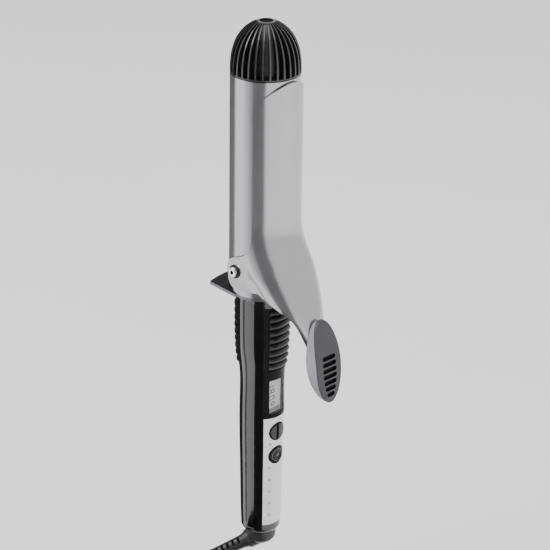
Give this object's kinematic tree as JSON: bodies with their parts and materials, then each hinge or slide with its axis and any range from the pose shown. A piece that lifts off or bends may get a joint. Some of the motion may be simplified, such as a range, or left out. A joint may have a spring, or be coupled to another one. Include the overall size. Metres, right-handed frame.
{
  "type": "curling iron",
  "caption": "Hand-held curling iron: heated round barrel with a sprung clamp and thumb lever, finned cool tip, rest stand, ribbed handle with display and keys, swivelling cord.",
  "frame": {"origin": "on the barrel's axis at the middle of the handle, where a hand holds it", "axes": "+Z along the barrel towards the cool tip, +X towards the thumb lever and the display, +Y across the pivot"},
  "size_m": [0.0894, 0.1225, 0.3638],
  "materials": {
    "barrel_metal": "satin",
    "tip_plastic": "satin",
    "aluminium": "plain",
    "ceramic": "matte",
    "plain_steel": "plain",
    "wire_sleeve": "woven sleeve",
    "mica": "matte",
    "inner_plastic": "matte",
    "stand_metal": "satin",
    "screw_chrome": "polished",
    "washer_black": "satin",
    "handle_gloss": "gloss",
    "grip_rubber": "matte",
    "lens_clear": "clear",
    "screen_grey": "matte",
    "panel_silver": "silver satin",
    "light_grey_lens": "satin",
    "board_green": "satin",
    "contact_brass": "plain",
    "thumb_dark": "satin",
    "thumb_light": "satin",
    "key_grey": "satin",
    "key_violet": "satin",
    "swivel_plastic": "satin",
    "cord_black": "matte",
    "tie_black": "matte"
  },
  "bodies": {
    "handle": {"barrel_tube": "barrel_metal", "cool_tip": "tip_plastic", "tip_hub": "tip_plastic", "tip_ring": "tip_plastic", "tip_socket": "tip_plastic", "heat_spreader_front": "aluminium", "heat_spreader_back": "aluminium", "heater_element": "ceramic", "thermistor": "ceramic", "thermal_fuse": "plain_steel", "heater_leads": "wire_sleeve", "heat_shield": "mica", "mount_spigot": "inner_plastic", "pivot_collar": "plain_steel", "safety_stand": "stand_metal", "pivot_screws": "screw_chrome", "pivot_washers": "washer_black", "spring_seat": "plain_steel", "clamp_spring": "plain_steel", "handle_front": "handle_gloss", "handle_back": "handle_gloss", "handle_screws": "washer_black", "grip_front": "grip_rubber", "grip_back": "grip_rubber", "display_bezel": "handle_gloss", "display_lens": "lens_clear", "display_screen": "screen_grey", "display_holder": "inner_plastic", "control_panel": "panel_silver", "key_frame": "handle_gloss", "power_ring": "handle_gloss", "indicator_lights": "light_grey_lens", "circuit_board": "board_green", "key_switches": "inner_plastic", "controller_chip": "inner_plastic", "power_triac": "inner_plastic", "filter_capacitor": "inner_plastic", "mains_leads": "wire_sleeve", "end_plate": "inner_plastic", "contact_brushes": "contact_brass"},
    "clamp": {"clamp_spoon": "barrel_metal", "thumb_face": "thumb_dark", "thumb_body": "thumb_light", "thumb_screw": "screw_chrome"},
    "up_key": {"temp_up_key": "key_grey"},
    "down_key": {"temp_down_key": "key_grey"},
    "power_key": {"power_button": "key_violet"},
    "swivel": {"swivel_housing": "swivel_plastic", "strain_relief": "swivel_plastic", "swivel_retainer": "plain_steel", "slip_rings": "contact_brass", "cord": "cord_black", "cord_coil": "cord_black", "cord_tie": "tie_black", "cord_tail": "cord_black", "plug_body": "cord_black", "plug_blades": "contact_brass"}
  },
  "joints": [
    {"name": "clamp_hinge", "type": "hinge", "parent": "handle", "child": "clamp", "pos_m": [-0.0015, 0, 0.088], "axis": [0, 1, 0], "range_deg": [0, 20], "stiffness_Nm_per_rad": 0.8, "springref_deg": -22.92, "deforming": ["clamp_spring"]},
    {"name": "temp_up_press", "type": "slide", "parent": "handle", "child": "up_key", "axis": [-1, 0, 0], "range_m": [0, 0.0006], "stiffness_N_per_m": 900, "springref_m": -0.0006},
    {"name": "temp_down_press", "type": "slide", "parent": "handle", "child": "down_key", "axis": [-1, 0, 0], "range_m": [0, 0.0006], "stiffness_N_per_m": 900, "springref_m": -0.0006},
    {"name": "power_press", "type": "slide", "parent": "handle", "child": "power_key", "axis": [-1, 0, 0], "range_m": [0, 0.0006], "stiffness_N_per_m": 900, "springref_m": -0.0006},
    {"name": "cord_swivel", "type": "hinge", "parent": "handle", "child": "swivel", "pos_m": [0, 0, -0.0845], "axis": [0, 0, 1], "continuous": true}
  ]
}
